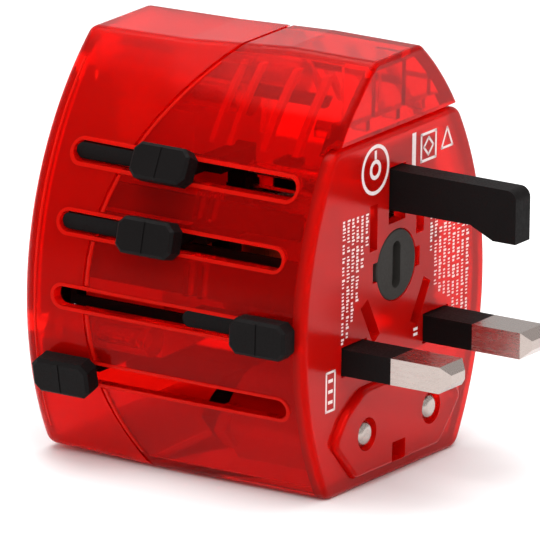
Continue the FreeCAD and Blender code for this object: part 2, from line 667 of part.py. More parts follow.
def uk_carriage():
    """Holds the three British pins; its stem climbs past the other plugs on the right."""
    y0 = CARRIAGE_FRONT
    y1 = y0 + CARRIAGE_T
    lobe_top = UK_PIN_Z + UK_PIN_H / 2 + UK_LOBE_RISE
    pieces = [box(-UK_LOBE_OUT, UK_LOBE_OUT, y0, y1, UK_BAR_BOTTOM, UK_BAR_TOP)]
    for sign in (-1, 1):
        inner = sign * (UK_PIN_PITCH / 2 - UK_PIN_W / 2)
        outer = sign * UK_LOBE_OUT
        pieces.append(box(min(inner, outer), max(inner, outer), y0, y1, UK_BAR_BOTTOM, lobe_top))
    stem_x1 = UK_STEM_X0 + UK_STEM_W
    pieces.append(box(UK_STEM_X0, stem_x1, y0, y1, UK_BAR_BOTTOM, UK_LINK_TOP))
    earth_half = UK_EARTH_W / 2 + UK_EARTH_CHEEK
    pieces.append(box(-earth_half, stem_x1, y0, y1, US_LOBE_TOP + 2 * MOVE_GAP, UK_LINK_TOP))
    earth_bottom = US_BAR_Z0 + US_BAR_H + 2 * MOVE_GAP
    pieces.append(box(-earth_half, earth_half, y0, y1, earth_bottom, UK_LINK_TOP))
    arm_x1 = -UK_LOBE_OUT + UK_ARM_W
    arm_z0 = UK_SLOT_Z - BAR_H / 2
    pieces.append(box(-UK_LOBE_OUT, arm_x1, y0, y1, UK_BAR_BOTTOM, UK_SLOT_Z + BAR_H / 2))
    pieces.append(box(arm_end(UK_SLOT_Z), arm_x1, y0, y1, arm_z0, UK_SLOT_Z + BAR_H / 2))
    body = fuse(pieces)
    core = uk_pin_bar(-UK_CORE_INSET, y0 - OVER, y1 + OVER)
    keep_clear = aus_blade_bar(AUS_LOBE_MARGIN + MOVE_GAP, y0 - OVER, y1 + OVER)
    cuts = [core, mirrored(core), keep_clear, mirrored(keep_clear), uk_neck_bar(0, y0 - OVER, y1 + OVER)]
    cuts.append(rod(*GUIDES["uk"], ROD_R + ROD_FIT, y0 - OVER, y1 + OVER))
    return body.cut(cuts)


# ---------------------------------------------------------------- American plug

def us_blades():
    blade = us_blade_bar(0, RETRACTED - US_BLADE_L - CARRIAGE_FRONT, RETRACTED + CARRIAGE_T + BLADE_TAIL)
    tip = RETRACTED - US_BLADE_L - CARRIAGE_FRONT
    blade = blade.makeChamfer(BLADE_TIP_CHAMFER, edges_where(blade, lambda p: abs(p.y - tip) < 1e-6))
    return pair(blade)


US_BAR_Z0 = FUSE_Z + FUSE_TUBE_R + MOVE_GAP     # passes just over the fuse tube
US_RISER_X = (-US_PITCH / 2 - US_BLADE_T / 2 - US_LOBE_X, -US_PITCH / 2 + US_BLADE_T / 2 + US_RISER_IN)


def us_carriage():
    y0 = RETRACTED
    y1 = y0 + CARRIAGE_T
    half = US_PITCH / 2 + US_BLADE_T / 2 + US_LOBE_X
    inner = US_PITCH / 2 - US_BLADE_T / 2 - US_LOBE_X
    lobe_z0 = US_Z - US_BLADE_H / 2 - US_LOBE_Z
    pieces = [box(-half, half, y0, y1, US_BAR_Z0, US_BAR_Z0 + US_BAR_H)]
    for x0, x1 in ((-half, -inner), (inner, half)):
        pieces.append(box(x0, x1, y0, y1, lobe_z0, US_LOBE_TOP))
    pieces.append(box(*US_RISER_X, y0, y1, US_BAR_Z0, US_SLOT_Z + BAR_H / 2))
    pieces.append(box(arm_end(US_SLOT_Z), US_RISER_X[1], y0, y1,
                      US_SLOT_Z - BAR_H / 2, US_SLOT_Z + BAR_H / 2))
    body = fuse(pieces)
    blade = us_blade_bar(0, y0 - OVER, y1 + OVER)
    return body.cut([blade, mirrored(blade), rod(*GUIDES["us"], ROD_R + ROD_FIT, y0 - OVER, y1 + OVER)])


# ---------------------------------------------------------------- Australian plug

def aus_blades():
    tip = RETRACTED - AUS_BLADE_L - CARRIAGE_FRONT
    blade = aus_blade_bar(0, tip, RETRACTED + CARRIAGE_T + BLADE_TAIL)
    blade = blade.makeChamfer(BLADE_TIP_CHAMFER, edges_where(blade, lambda p: abs(p.y - tip) < 1e-6))
    return pair(blade)


AUS_BAR_TOP = FUSE_Z - FUSE_TUBE_R - AUS_FUSE_GAP
AUS_RISER_X1 = US_RISER_X[0] - 2 * MOVE_GAP
AUS_RISER_X0 = AUS_RISER_X1 - AUS_RISER_W
GUIDES = {"uk": (UK_STEM_X0 + UK_STEM_W / 2, GUIDE_ROD_Z["uk"]),
          "us": ((US_RISER_X[0] + US_RISER_X[1]) / 2, GUIDE_ROD_Z["us"]),
          "aus": ((AUS_RISER_X0 + AUS_RISER_X1) / 2, GUIDE_ROD_Z["aus"])}


def aus_carriage():
    y0 = RETRACTED
    y1 = y0 + CARRIAGE_T
    lobe = aus_blade_bar(AUS_LOBE_MARGIN, y0, y1)
    half = AUS_PITCH / 2 - AUS_BAR_IN
    pieces = [box(-half, half, y0, y1, AUS_BAR_BOTTOM, AUS_BAR_TOP), lobe, mirrored(lobe)]
    pieces.append(box(AUS_RISER_X0, AUS_RISER_X1, y0, y1, AUS_Z + AUS_RISER_RISE, AUS_SLOT_Z + BAR_H / 2))
    pieces.append(box(arm_end(AUS_SLOT_Z), AUS_RISER_X1, y0, y1, AUS_SLOT_Z - BAR_H / 2,
                      AUS_SLOT_Z + BAR_H / 2))
    body = fuse(pieces)
    blade = aus_blade_bar(0, y0 - OVER, y1 + OVER)
    return body.cut([blade, mirrored(blade), rod(*GUIDES["aus"], ROD_R + ROD_FIT, y0 - OVER, y1 + OVER)])


# ---------------------------------------------------------------- European plug

def euro_block():
    """The six-sided block that comes out part of the way round the two round pins."""
    front = -EURO_BLOCK_PROUD
    rear = front + EURO_BLOCK_L
    block = euro_bar(0, front, rear)
    block = block.makeFillet(EURO_FACE_R, edges_where(block, lambda p: abs(p.y - front) < 1e-6))
    wings = prism(offset_polygon(euro_outline(), EURO_WING), rear - EURO_WING_T, rear)
    wings = wings.common(box(-WIDTH, WIDTH, front, rear, EURO_Z - EURO_WING_HALF, EURO_Z + EURO_WING_HALF))
    block = block.fuse(wings).removeSplitter()
    cuts = [euro_bar(-EURO_BLOCK_WALL, front + EURO_BLOCK_FACE_T, rear + OVER)]
    for sign in (-1, 1):
        cuts.append(rod(sign * EURO_PIN_PITCH / 2, EURO_Z, EURO_HOLE_R, front - OVER, rear))
    key_end = front + EURO_BLOCK_FACE_T + OVER
    cuts.append(centred(0, EURO_KEY_Z, EURO_KEY_W, EURO_KEY_H, front - OVER, key_end))
    return block.cut(cuts)


EURO_TIP = -EURO_BLOCK_PROUD
EURO_SPINE_TOP = EURO_TOP - EURO_BLOCK_WALL - EURO_INNER_GAP
EURO_NECK_MID = EURO_KNOB_MID + EURO_NECK_BACK
EURO_NECK = (EURO_NECK_MID - EURO_NECK_L / 2, EURO_NECK_MID + EURO_NECK_L / 2)


def euro_pins():
    x = EURO_PIN_PITCH / 2
    tip = rod(x, EURO_Z, EURO_PIN_R, EURO_TIP, EURO_TIP + EURO_TIP_L)
    tip = tip.makeFillet(EURO_TIP_R, edges_where(tip, lambda p: abs(p.y - EURO_TIP) < 1e-6))
    core = rod(x, EURO_Z, EURO_CORE_R, EURO_TIP + EURO_TIP_L - SINK, EURO_PLATE_FRONT + CARRIAGE_T)
    return pair(fuse([tip, core]))


def euro_pin_sleeves():
    x = EURO_PIN_PITCH / 2
    y0 = EURO_TIP + EURO_TIP_L
    sleeve = rod(x, EURO_Z, EURO_PIN_R - SEAT_GAP, y0, EURO_PLATE_FRONT)
    return pair(sleeve.cut(rod(x, EURO_Z, EURO_CORE_R, y0 - OVER, EURO_PLATE_FRONT + OVER)))


def euro_carriage():
    """Pin plate inside the block, a spine that trails behind it and an arm to the slider."""
    y0 = EURO_PLATE_FRONT
    y1 = y0 + CARRIAGE_T
    half = EURO_SPINE_HALF
    foot = EURO_Z + EURO_SPINE_FOOT
    arm_top = EURO_SLOT_Z + BAR_H / 2
    pieces = [euro_bar(-EURO_BLOCK_WALL - EURO_INNER_GAP, y0, y1)]
    pieces.append(box(-half, half, y0, EURO_NECK[1], foot, EURO_SPINE_TOP))
    pieces.append(box(-half, half, *EURO_NECK, foot, arm_top))
    pieces.append(box(arm_end(EURO_SLOT_Z), half, *EURO_NECK, EURO_SLOT_Z - BAR_H / 2, arm_top))
    body = fuse(pieces)
    core = rod(EURO_PIN_PITCH / 2, EURO_Z, EURO_CORE_R, y0 - OVER, y1 + OVER)
    return body.cut([core, mirrored(core)])


def euro_knob():
    return knob(EURO_SLOT_Z, EURO_KNOB_MID, *EURO_NECK)


# ---------------------------------------------------------------- fuse and its cap

def fuse_cap():
    """Slotted bayonet cap; its lugs lie above and below when it is locked."""
    lug_y0 = PLATE_T + CAP_SKIRT
    cap = rod(0, FUSE_Z, CAP_R, 0.0, lug_y0)
    cap = cap.makeFillet(CAP_EDGE_R, edges_where(cap, lambda p: abs(p.y) < 1e-6))
    lugs = centred(0, FUSE_Z, LUG_W, 2 * LUG_REACH, lug_y0, lug_y0 + LUG_T)
    stem = rod(0, FUSE_Z, CAP_STEM_R, lug_y0, FUSE_FRONT - MOVE_GAP)
    body = fuse([cap, lugs, stem])
    straight = CAP_SLOT_H - CAP_SLOT_W
    cuts = [centred(0, FUSE_Z, CAP_SLOT_W, straight, -OVER, CAP_SLOT_DEPTH)]
    for z in (FUSE_Z - straight / 2, FUSE_Z + straight / 2):
        cuts.append(rod(0, z, CAP_SLOT_W / 2, -OVER, CAP_SLOT_DEPTH))
    return body.cut(cuts)


def fuse_holder():
    tube = rod(0, FUSE_Z, FUSE_TUBE_R, CARRIAGE_FRONT + SEAT_GAP, CARRIER_FRONT)
    return tube.cut(rod(0, FUSE_Z, FUSE_TUBE_BORE, 0, CARRIER_FRONT + OVER))


def fuse_body():
    ends = (FUSE_FRONT + CERAMIC_END, FUSE_FRONT + FUSE_L - CERAMIC_END)
    return rod(0, FUSE_Z, FUSE_R - CERAMIC_INSET, *ends)


def fuse_end_caps():
    front = rod(0, FUSE_Z, FUSE_R, FUSE_FRONT, FUSE_FRONT + FUSE_CAP_L)
    rear = rod(0, FUSE_Z, FUSE_R, FUSE_FRONT + FUSE_L - FUSE_CAP_L, FUSE_FRONT + FUSE_L)
    ceramic = fuse_body()
    return Part.makeCompound([front.cut(ceramic), rear.cut(ceramic)])


def coil(radius, wire, length, turns):
    """A helical spring along +Z from the origin, inside the given length."""
    pitch = (length - 2 * wire) / turns
    helix = Part.makeHelix(pitch, length - 2 * wire, radius)
    section = Part.Wire(Part.makeCircle(wire, V(radius, 0, 0), V(0, 1, 0)))
    spring = Part.Wire(helix.Edges).makePipeShell([section], True, True)
    spring.translate(V(0, 0, wire))
    return spring


def fuse_spring():
    y0 = FUSE_FRONT + FUSE_L
    length = CARRIER_FRONT + CARRIER_FRONT_T - y0
    spring = coil(FUSE_TUBE_BORE - 3 * SPRING_WIRE_R, SPRING_WIRE_R, length, FUSE_SPRING_TURNS)
    spring.rotate(V(0, 0, 0), V(1, 0, 0), -90)
    spring.translate(V(0, y0, FUSE_Z))
    return spring


# ---------------------------------------------------------------- contacts and their carrier

POCKET_IN = BUSBAR_X - BUSBAR_T / 2 - POCKET_MARGIN
POCKET_OUT = CARRIER_HALF_LOW - CARRIER_WALL
POCKET_Z = (CARRIER_BOTTOM + CARRIER_WALL, CARRIER_STEP_Z - CARRIER_WALL)
WEB_Y = CARRIER_FRONT + CARRIER_FRONT_T
TONGUE_Z = (FUSE_Z - TONGUE_HALF, FUSE_Z + TONGUE_HALF)


def contact_carrier():
    """Black block behind the plugs that holds the socket's contacts."""
    body = fuse([box(-CARRIER_HALF_LOW, CARRIER_HALF_LOW, CARRIER_FRONT, CARRIER_REAR,
                     CARRIER_BOTTOM, CARRIER_STEP_Z),
                 box(-CARRIER_HALF_HIGH, CARRIER_HALF_HIGH, CARRIER_FRONT, CARRIER_REAR,
                     CARRIER_STEP_Z - SINK, CARRIER_TOP)])
    cuts = []
    for x0, x1 in ((-POCKET_OUT, -POCKET_IN), (POCKET_IN, POCKET_OUT)):
        cuts.append(box(x0, x1, WEB_Y, CARRIER_REAR + OVER, *POCKET_Z))
    earth_z = SOCKET_Z + UK_EARTH_RISE
    room_x = EARTH_HOLE_W / 2 + EARTH_POCKET_WALL
    room_z = EARTH_HOLE_H / 2 + EARTH_POCKET_WALL
    side_x = room_x + EARTH_WEB_T
    side = box(side_x, CARRIER_HALF_HIGH - CARRIER_WALL, WEB_Y, CARRIER_REAR + OVER,
               CARRIER_STEP_Z + CARRIER_WALL, CARRIER_TOP - CARRIER_WALL)
    cuts += [side, mirrored(side)]
    cuts.append(box(-room_x, room_x, WEB_Y, CARRIER_REAR + OVER, earth_z - room_z, earth_z + room_z))
    cuts.append(rod(0, FUSE_Z, FUSE_TUBE_BORE - SPRING_WIRE_R, CARRIER_FRONT - OVER, WEB_Y + STRIP_T))
    tongue_end = TONGUE_TIP + CONTACT_GAP_IN
    cuts.append(box(-POCKET_IN - OVER, tongue_end, WEB_Y, WEB_Y + STRIP_T + SEAT_GAP, *TONGUE_Z))
    strip = box(BUSBAR_X - BUSBAR_T / 2, BUSBAR_X + BUSBAR_T / 2,
                CARRIER_FRONT - OVER, WEB_Y + OVER, *BUSBAR_Z)
    cuts += [strip, mirrored(strip)]
    return body.cut(cuts)


def contact():
    """A right-hand contact: a web across the pocket and two leaves that grip a pin."""
    x0 = POCKET_IN + CONTACT_GAP_IN
    x1 = POCKET_OUT - CONTACT_GAP_OUT
    leaf_gap = UK_PIN_H / 2 + LEAF_FIT
    pieces = [box(x0, x1, WEB_Y, WEB_Y + STRIP_T, SOCKET_Z - leaf_gap - STRIP_T, BUSBAR_Z[1])]
    leaf_x0 = UK_PIN_PITCH / 2 - UK_PIN_W / 2 - CONTACT_GAP_OUT
    for z0 in (SOCKET_Z - leaf_gap - STRIP_T, SOCKET_Z + leaf_gap):
        pieces.append(box(leaf_x0, x1, WEB_Y, CARRIER_REAR - LEAF_END_GAP, z0, z0 + STRIP_T))
    return fuse(pieces)


def live_contact():
    """The left-hand contact, with a tongue that the fuse's spring presses on."""
    low, high = TONGUE_Z
    tongue = box(-POCKET_IN - SINK, TONGUE_TIP, WEB_Y, WEB_Y + STRIP_T, low + SEAT_GAP, high - SEAT_GAP)
    return fuse([mirrored(contact()), tongue])


def busbar():
    """A strip that the plug blades' tails slide beside."""
    return box(BUSBAR_X - BUSBAR_T / 2, BUSBAR_X + BUSBAR_T / 2, BUSBAR_FRONT, WEB_Y, *BUSBAR_Z)


def side_guide():
    """Right-hand cheek of the cage that keeps the carriages square."""
    x0 = CARRIER_HALF_LOW
    z0 = SIDE_SCREW_Z + BOSS_R + GUIDE_BOSS_GAP
    z1 = US_SLOT_Z - SLOT_H / 2 - GUIDE_SLOT_GAP
    cheek = box(x0, x0 + GUIDE_T, GUIDE_FRONT, GUIDE_REAR, z0, z1)
    return cheek.common(housing_solid(0, BACK_INNER, WALL + RIB_REACH + SEAT_GAP))


def left_guide():
    """The slider side's cheek, open where the lower two of its arms pass."""
    cheek = mirrored(side_guide())
    gap = SLOT_H / 2 + SEAT_GAP
    cuts = []
    for z in (UK_SLOT_Z, AUS_SLOT_Z):
        cuts.append(box(-WIDTH, 0, 0, GUIDE_REAR - GUIDE_BRIDGE, z - gap, z + gap))
    return cheek.cut(cuts)


# ---------------------------------------------------------------- socket face and shutter

def line_hole(y0, y1):
    """The right-hand universal hole: flat pin, upright blade and leaning blade in one."""
    flat = centred(UK_PIN_PITCH / 2, SOCKET_Z, LINE_HOLE_W, LINE_HOLE_H, y0, y1)
    upright = centred(US_PITCH / 2, SOCKET_Z, BLADE_HOLE_W, BLADE_HOLE_H, y0, y1)
    leaning = tilted(AUS_PITCH / 2, SOCKET_Z, BLADE_HOLE_W, BLADE_HOLE_H, AUS_TILT, y0, y1)
    return fuse([flat, upright, leaning])


def spring_top():
    return SHUTTER_BOTTOM + SHUTTER_H + SPRING_L


def socket_face():
    """Black insert in the back wall, with the universal holes and two spring ledges."""
    insert = window(BACK_INNER - SINK, DEPTH - FACE_SINK, FACE_INSET + SEAT_GAP)
    flange = window(FACE_BACK, BACK_INNER, FACE_INSET - FACE_FLANGE)
    body = insert.fuse(flange)
    ledge_z = spring_top()
    ledges = []
    for sign in (-1, 1):
        x = sign * SPRING_X
        span = (SHUTTER_BACK - SHUTTER_T - LEDGE_PROUD, FACE_BACK + SINK)
        ledges.append(box(x - LEDGE_HALF, x + LEDGE_HALF, *span, ledge_z, ledge_z + LEDGE_T))
    body = body.fuse(ledges).removeSplitter()
    hole = line_hole(FACE_BACK - OVER, DEPTH + OVER)
    earth_z = SOCKET_Z + UK_EARTH_RISE
    cuts = [hole, mirrored(hole)]
    cuts.append(centred(0, earth_z, EARTH_HOLE_W, EARTH_HOLE_H, FACE_BACK - OVER, DEPTH + OVER))
    for x, z in SCREWS:
        cuts.append(rod(x, z, BOSS_R + 2 * SEAT_GAP, FACE_BACK - OVER, DEPTH + OVER))
    return body.cut(cuts)


def socket_shutter():
    """A plate behind the line holes that springs press down over them."""
    y0 = SHUTTER_BACK - SHUTTER_T
    return box(-SHUTTER_HALF, SHUTTER_HALF, y0, SHUTTER_BACK, SHUTTER_BOTTOM, SHUTTER_BOTTOM + SHUTTER_H)


def shutter_springs():
    spring = coil(SPRING_COIL_R, SPRING_WIRE_R, SPRING_L, SPRING_TURNS)
    spring.translate(V(SPRING_X, SHUTTER_BACK - SHUTTER_T / 2, SHUTTER_BOTTOM + SHUTTER_H))
    return pair(spring)


# ---------------------------------------------------------------- fasteners and guide rods

def housing_screws():
    screws = []
    for x, z in SCREWS:
        seat = screw_seat(z)
        shank = rod(x, z, SCREW_R - SEAT_GAP / 2, seam_depth(z) - SCREW_ENGAGE, seat)
        head = rod(x, z, SCREW_HEAD_R, seat, seat + SCREW_HEAD_T)
        span = (seat + SCREW_HEAD_T - SCREW_DRIVE_DEPTH, seat + SCREW_HEAD_T + OVER)
        drive = centred(x, z, SCREW_DRIVE_W, SCREW_DRIVE_L, *span)
        cross = centred(x, z, SCREW_DRIVE_L, SCREW_DRIVE_W, *span)
        screws.append(fuse([shank, head]).cut([drive, cross]))
    return Part.makeCompound(screws)


def guide_rods():
    return Part.makeCompound([rod(x, z, ROD_R, PLATE_T, CARRIER_FRONT) for x, z in GUIDES.values()])


BAR_REST = SLOT_FRONT + MOVE_GAP + PLUG_TRAVEL

NODES = {
    "front_shell": front_shell,
    "rear_shell": rear_shell,
    "front_plate": front_plate,
    "socket_face": socket_face,
    "socket_shutter": socket_shutter,
    "shutter_springs": shutter_springs,
    "contact_carrier": contact_carrier,
    "left_guide": left_guide,
    "right_guide": side_guide,
    "live_contact": live_contact,
    "neutral_contact": contact,
    "live_busbar": lambda: mirrored(busbar()),
    "neutral_busbar": busbar,
    "fuse_cap": fuse_cap,
    "fuse_holder": fuse_holder,
    "fuse_body": fuse_body,
    "fuse_end_caps": fuse_end_caps,
    "fuse_spring": fuse_spring,
    "housing_screws": housing_screws,
    "guide_rods": guide_rods,
    "uk_carriage": uk_carriage,
    "uk_knob": lambda: knob(UK_SLOT_Z, UK_KNOB_MID, CARRIAGE_FRONT, SLOT_REAR - MOVE_GAP - UK_TRAVEL),
    "uk_earth_pin": uk_earth_pin,
    "uk_line_pin": lambda: mirrored(uk_pin()),
    "uk_neutral_pin": uk_pin,
    "uk_pin_sleeves": uk_pin_sleeves,
    "us_carriage": us_carriage,
    "us_knob": lambda: knob(US_SLOT_Z, KNOB_MID_REST, BAR_REST, SLOT_REAR - MOVE_GAP),
    "us_blades": us_blades,
    "aus_carriage": aus_carriage,
    "aus_knob": lambda: knob(AUS_SLOT_Z, KNOB_MID_REST, BAR_REST, SLOT_REAR - MOVE_GAP),
    "aus_blades": aus_blades,
    "euro_block": euro_block,
    "euro_carriage": euro_carriage,
    "euro_knob": euro_knob,
    "euro_pins": euro_pins,
    "euro_pin_sleeves": euro_pin_sleeves,
}


os.makedirs("parts", exist_ok=True)
for name, make in NODES.items():
    shape = make()
    shape.translate(V(0, -DEPTH / 2, 0))
    shape.exportStep("parts/" + name + ".step")
    box_ = shape.BoundBox
    print("%-18s solids %d valid %s  x %6.2f %6.2f  y %6.2f %6.2f  z %6.2f %6.2f  vol %8.1f" % (
        name, len(shape.Solids), shape.isValid(), box_.XMin, box_.XMax, box_.YMin, box_.YMax,
        box_.ZMin, box_.ZMax, shape.Volume))
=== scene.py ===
# %% [markdown]
# # A clear red travel adapter
# The adapter's pieces come from its CAD model, already in place and at their real size.
# This lesson gives each of them its finish, adds the small moulded and printed details, and
# lights the whole like a product on a white table.

# %% Load the frame
import math
import random

import bmesh
import bpy
from mathutils import Matrix, Vector


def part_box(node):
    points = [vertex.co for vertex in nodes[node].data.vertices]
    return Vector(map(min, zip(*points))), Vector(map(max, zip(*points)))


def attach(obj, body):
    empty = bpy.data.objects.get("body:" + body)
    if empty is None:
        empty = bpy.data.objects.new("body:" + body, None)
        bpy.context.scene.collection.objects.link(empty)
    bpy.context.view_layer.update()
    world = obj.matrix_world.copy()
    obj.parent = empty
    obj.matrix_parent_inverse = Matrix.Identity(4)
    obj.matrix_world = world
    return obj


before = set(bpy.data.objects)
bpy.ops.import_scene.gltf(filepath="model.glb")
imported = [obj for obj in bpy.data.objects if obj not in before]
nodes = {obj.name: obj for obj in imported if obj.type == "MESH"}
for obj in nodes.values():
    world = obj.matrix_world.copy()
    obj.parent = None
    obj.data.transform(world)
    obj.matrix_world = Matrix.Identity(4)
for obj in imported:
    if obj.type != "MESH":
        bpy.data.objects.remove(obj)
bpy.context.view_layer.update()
MM = 0.001
print("nodes:", len(nodes))

# %% [markdown]
# ## Numbers that the details share
# The front plate's face is the lowest Y of the front plate, and every printed mark and moulded
# detail is placed from it. The housing's side is one arc. Its height, the height where it is
# widest and the width of the flat top are enough to find the arc's radius again, so a strip
# can follow the side exactly.

# %% Sizes read from the frame
plate_low, plate_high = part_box("front_plate")
shell_low, shell_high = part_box("front_shell")
FACE_Y = plate_low[1]
HALF_WIDTH = shell_high[0]
HEIGHT = shell_high[2]
WIDEST_Z = 25.1 * MM
TOP_HALF = 6.2 * MM
SAG = HALF_WIDTH - TOP_HALF
SIDE_R = ((HEIGHT - WIDEST_Z) ** 2 + SAG ** 2) / (2 * SAG)


def half_width(z):
    """Half the housing's width at a height, near the front."""
    return math.sqrt(SIDE_R ** 2 - (z - WIDEST_Z) ** 2) - (SIDE_R - HALF_WIDTH)


print("front face at y = %.1f mm, side arc radius %.1f mm" % (FACE_Y / MM, SIDE_R / MM))

# %% [markdown]
# ## Materials from nodes
# A moulded part is never one flat colour. Each material here starts from one Principled
# shader. A noise pattern on Object coordinates varies its roughness, and a second, finer one
# drives a bump, so the grain keeps its real size from every side.

# %% A material and its noise
def new_material(name, settings):
    material = bpy.data.materials.new(name)
    material.use_nodes = True
    tree = material.node_tree
    shader = tree.nodes["Principled BSDF"]
    for socket, value in settings.items():
        shader.inputs[socket].default_value = value
    coords = tree.nodes.new("ShaderNodeTexCoord")
    return material, tree, shader, coords


def noise(tree, coords, per_metre, detail=2.0, stretch=None):
    """A noise pattern with that many features to the metre."""
    node = tree.nodes.new("ShaderNodeTexNoise")
    node.inputs["Scale"].default_value = per_metre
    node.inputs["Detail"].default_value = detail
    source = coords.outputs["Object"]
    if stretch:
        mapping = tree.nodes.new("ShaderNodeMapping")
        mapping.inputs["Scale"].default_value = stretch
        tree.links.new(source, mapping.inputs["Vector"])
        source = mapping.outputs["Vector"]
    tree.links.new(source, node.inputs["Vector"])
    return node.outputs["Fac"]


print("noise patterns read object coordinates, in metres")

# %% [markdown]
# ## Turning noise into a finish
# Raw noise stays near its middle value. Stretching that middle over a chosen range makes it
# useful for roughness, and mixing two close colours with it stops a surface looking painted.
# A bump takes its height in millimetres, which keeps the grain believable.

# %% Ranges, bumps and colour blends
NOISE_LOW = 0.3
NOISE_HIGH = 0.7


def spread(tree, source, low, high):
    """Maps a 0 to 1 pattern onto a range."""
    node = tree.nodes.new("ShaderNodeMapRange")
    node.inputs["From Min"].default_value = NOISE_LOW
    node.inputs["From Max"].default_value = NOISE_HIGH
    node.inputs["To Min"].default_value = low
    node.inputs["To Max"].default_value = high
    tree.links.new(source, node.inputs["Value"])
    return node.outputs["Result"]


def bump(tree, shader, source, strength, depth_mm):
    node = tree.nodes.new("ShaderNodeBump")
    node.inputs["Strength"].default_value = strength
    node.inputs["Distance"].default_value = depth_mm * MM
    tree.links.new(source, node.inputs["Height"])
    tree.links.new(node.outputs["Normal"], shader.inputs["Normal"])
    return node


def blend_colours(tree, source, first, second):
    node = tree.nodes.new("ShaderNodeMix")
    node.data_type = "RGBA"
    node.inputs[6].default_value = (*first, 1)
    node.inputs[7].default_value = (*second, 1)
    tree.links.new(source, node.inputs["Factor"])
    return node.outputs[2]


print("noise from %.1f to %.1f fills a range" % (NOISE_LOW, NOISE_HIGH))

# %% [markdown]
# ## Clear red plastic
# The housing is dyed right through and lightly frosted. Most of the light goes through,
# blurred, so black pieces show as soft dark shapes. A little scatters inside the wall, which
# keeps the red bright, and a red specular tint keeps reflections from turning pink. The rear
# shell is a little milkier than the front one, and the plate is rougher.

# %% Clear red
CLEAR_IOR = 1.27
RED_TINT = (1.0, 0.10, 0.08, 1.0)
SCATTER_DEPTH = 3.0 * MM
SCATTER_COLOUR = (1.0, 0.06, 0.04)
CLOUDS_PER_METRE = 90.0
GRAIN_PER_METRE = 2600.0


def clear_red(name, roughness, transmission, colour, second, gloss):
    material, tree, shader, coords = new_material(name, {
        "Transmission Weight": transmission,
        "IOR": CLEAR_IOR,
        "Specular IOR Level": gloss,
        "Specular Tint": RED_TINT,
        "Subsurface Weight": 0.6,
        "Subsurface Scale": SCATTER_DEPTH,
        "Subsurface Radius": SCATTER_COLOUR})
    slow = noise(tree, coords, CLOUDS_PER_METRE)
    fine = noise(tree, coords, GRAIN_PER_METRE, 1.0)
    rough = spread(tree, slow, roughness * 0.9, roughness * 1.12)
    tree.links.new(blend_colours(tree, slow, colour, second), shader.inputs["Base Color"])
    tree.links.new(rough, shader.inputs["Roughness"])
    bump(tree, shader, fine, 0.12, 0.02)
    return material


red_shell = clear_red("red_shell", 0.09, 0.86,
                      (0.99, 0.006, 0.003), (0.97, 0.004, 0.002), 0.3)
red_rear = clear_red("red_rear_shell", 0.12, 0.74,
                     (0.99, 0.007, 0.003), (0.97, 0.004, 0.002), 0.3)
red_plate = clear_red("red_plate", 0.19, 0.66,
                      (0.97, 0.012, 0.008), (0.93, 0.009, 0.006), 0.35)

red_inner = clear_red("red_inner", 0.35, 0.25,
                      (0.98, 0.012, 0.006), (0.94, 0.010, 0.005), 0.3)
# A less clear, brighter red for the painted highlights at the slot edges, the shell seam and the back
# edge.
highlight_red = clear_red("red_painted_highlight", 0.2, 0.45,
                     (1.0, 0.012, 0.006), (0.96, 0.008, 0.004), 0.3)
print("clear reds: shells, plate, inner pieces and edges")

# %% [markdown]
# ## Black and grey plastic
# Sliders, pins' sleeves and the earth pin are fine-textured black plastic. Real black moulding
# isn't shiny, so its specular level is low and a fine bump breaks what is left. The fuse cap
# is a dark grey.

# %% Black and grey plastic
def moulded_black(name, colour, second, roughness, grain):
    material, tree, shader, coords = new_material(name, {"IOR": 1.46, "Specular IOR Level": 0.12})
    slow = noise(tree, coords, 160.0)
    fine = noise(tree, coords, grain, 2.0)
    tree.links.new(blend_colours(tree, slow, colour, second), shader.inputs["Base Color"])
    tree.links.new(spread(tree, fine, roughness * 0.9, roughness * 1.15), shader.inputs["Roughness"])
    bump(tree, shader, fine, 0.35, 0.03)
    return material


black_plastic = moulded_black("black_plastic", (0.003, 0.002, 0.002),
                              (0.005, 0.0035, 0.0035), 0.6, 3000.0)
inner_black = moulded_black("inner_black", (0.003, 0.0025, 0.0025),
                            (0.005, 0.004, 0.004), 0.65, 2500.0)
grey_plastic = moulded_black("grey_plastic", (0.034, 0.030, 0.027),
                             (0.040, 0.036, 0.033), 0.65, 2600.0)
print("plastics:", black_plastic.name, inner_black.name, grey_plastic.name)

# %% [markdown]
# ## Metals
# The pins are nickel plated, with a grain drawn out along the pin, so the noise is stretched
# along Y. The springs, screws and rods are plated steel, and the contacts are stamped brass.

# %% Metals
def metal(name, colour, second, roughness, grain_per_metre, stretch, depth_mm):
    material, tree, shader, coords = new_material(name, {"Metallic": 1.0})
    slow = noise(tree, coords, 220.0)
    grain = noise(tree, coords, grain_per_metre, 2.0, stretch)
    tree.links.new(blend_colours(tree, slow, colour, second), shader.inputs["Base Color"])
    tree.links.new(spread(tree, grain, roughness * 0.8, roughness * 1.2), shader.inputs["Roughness"])
    bump(tree, shader, grain, 0.05, depth_mm)
    return material


nickel = metal("satin_nickel", (0.47, 0.40, 0.37), (0.44, 0.37, 0.34),
               0.26, 900.0, (4.0, 0.6, 4.0), 0.0015)
steel = metal("plated_steel", (0.55, 0.55, 0.56), (0.48, 0.48, 0.49), 0.28, 1500.0, None, 0.01)
brass = metal("stamped_brass", (0.72, 0.50, 0.20), (0.62, 0.42, 0.16),
              0.32, 1200.0, (1.0, 6.0, 1.0), 0.01)
print("metals:", nickel.name, steel.name, brass.name)

# %% [markdown]
# ## The fuse's ceramic tube
# The fuse is hidden behind its cap, and its body is a pale glazed ceramic.

# %% Ceramic
ceramic, tree, shader, coords = new_material("fuse_ceramic", {"Roughness": 0.3})
glaze = blend_colours(tree, noise(tree, coords, 400.0), (0.80, 0.78, 0.72), (0.74, 0.72, 0.66))
tree.links.new(glaze, shader.inputs["Base Color"])
print("ceramic:", ceramic.name)

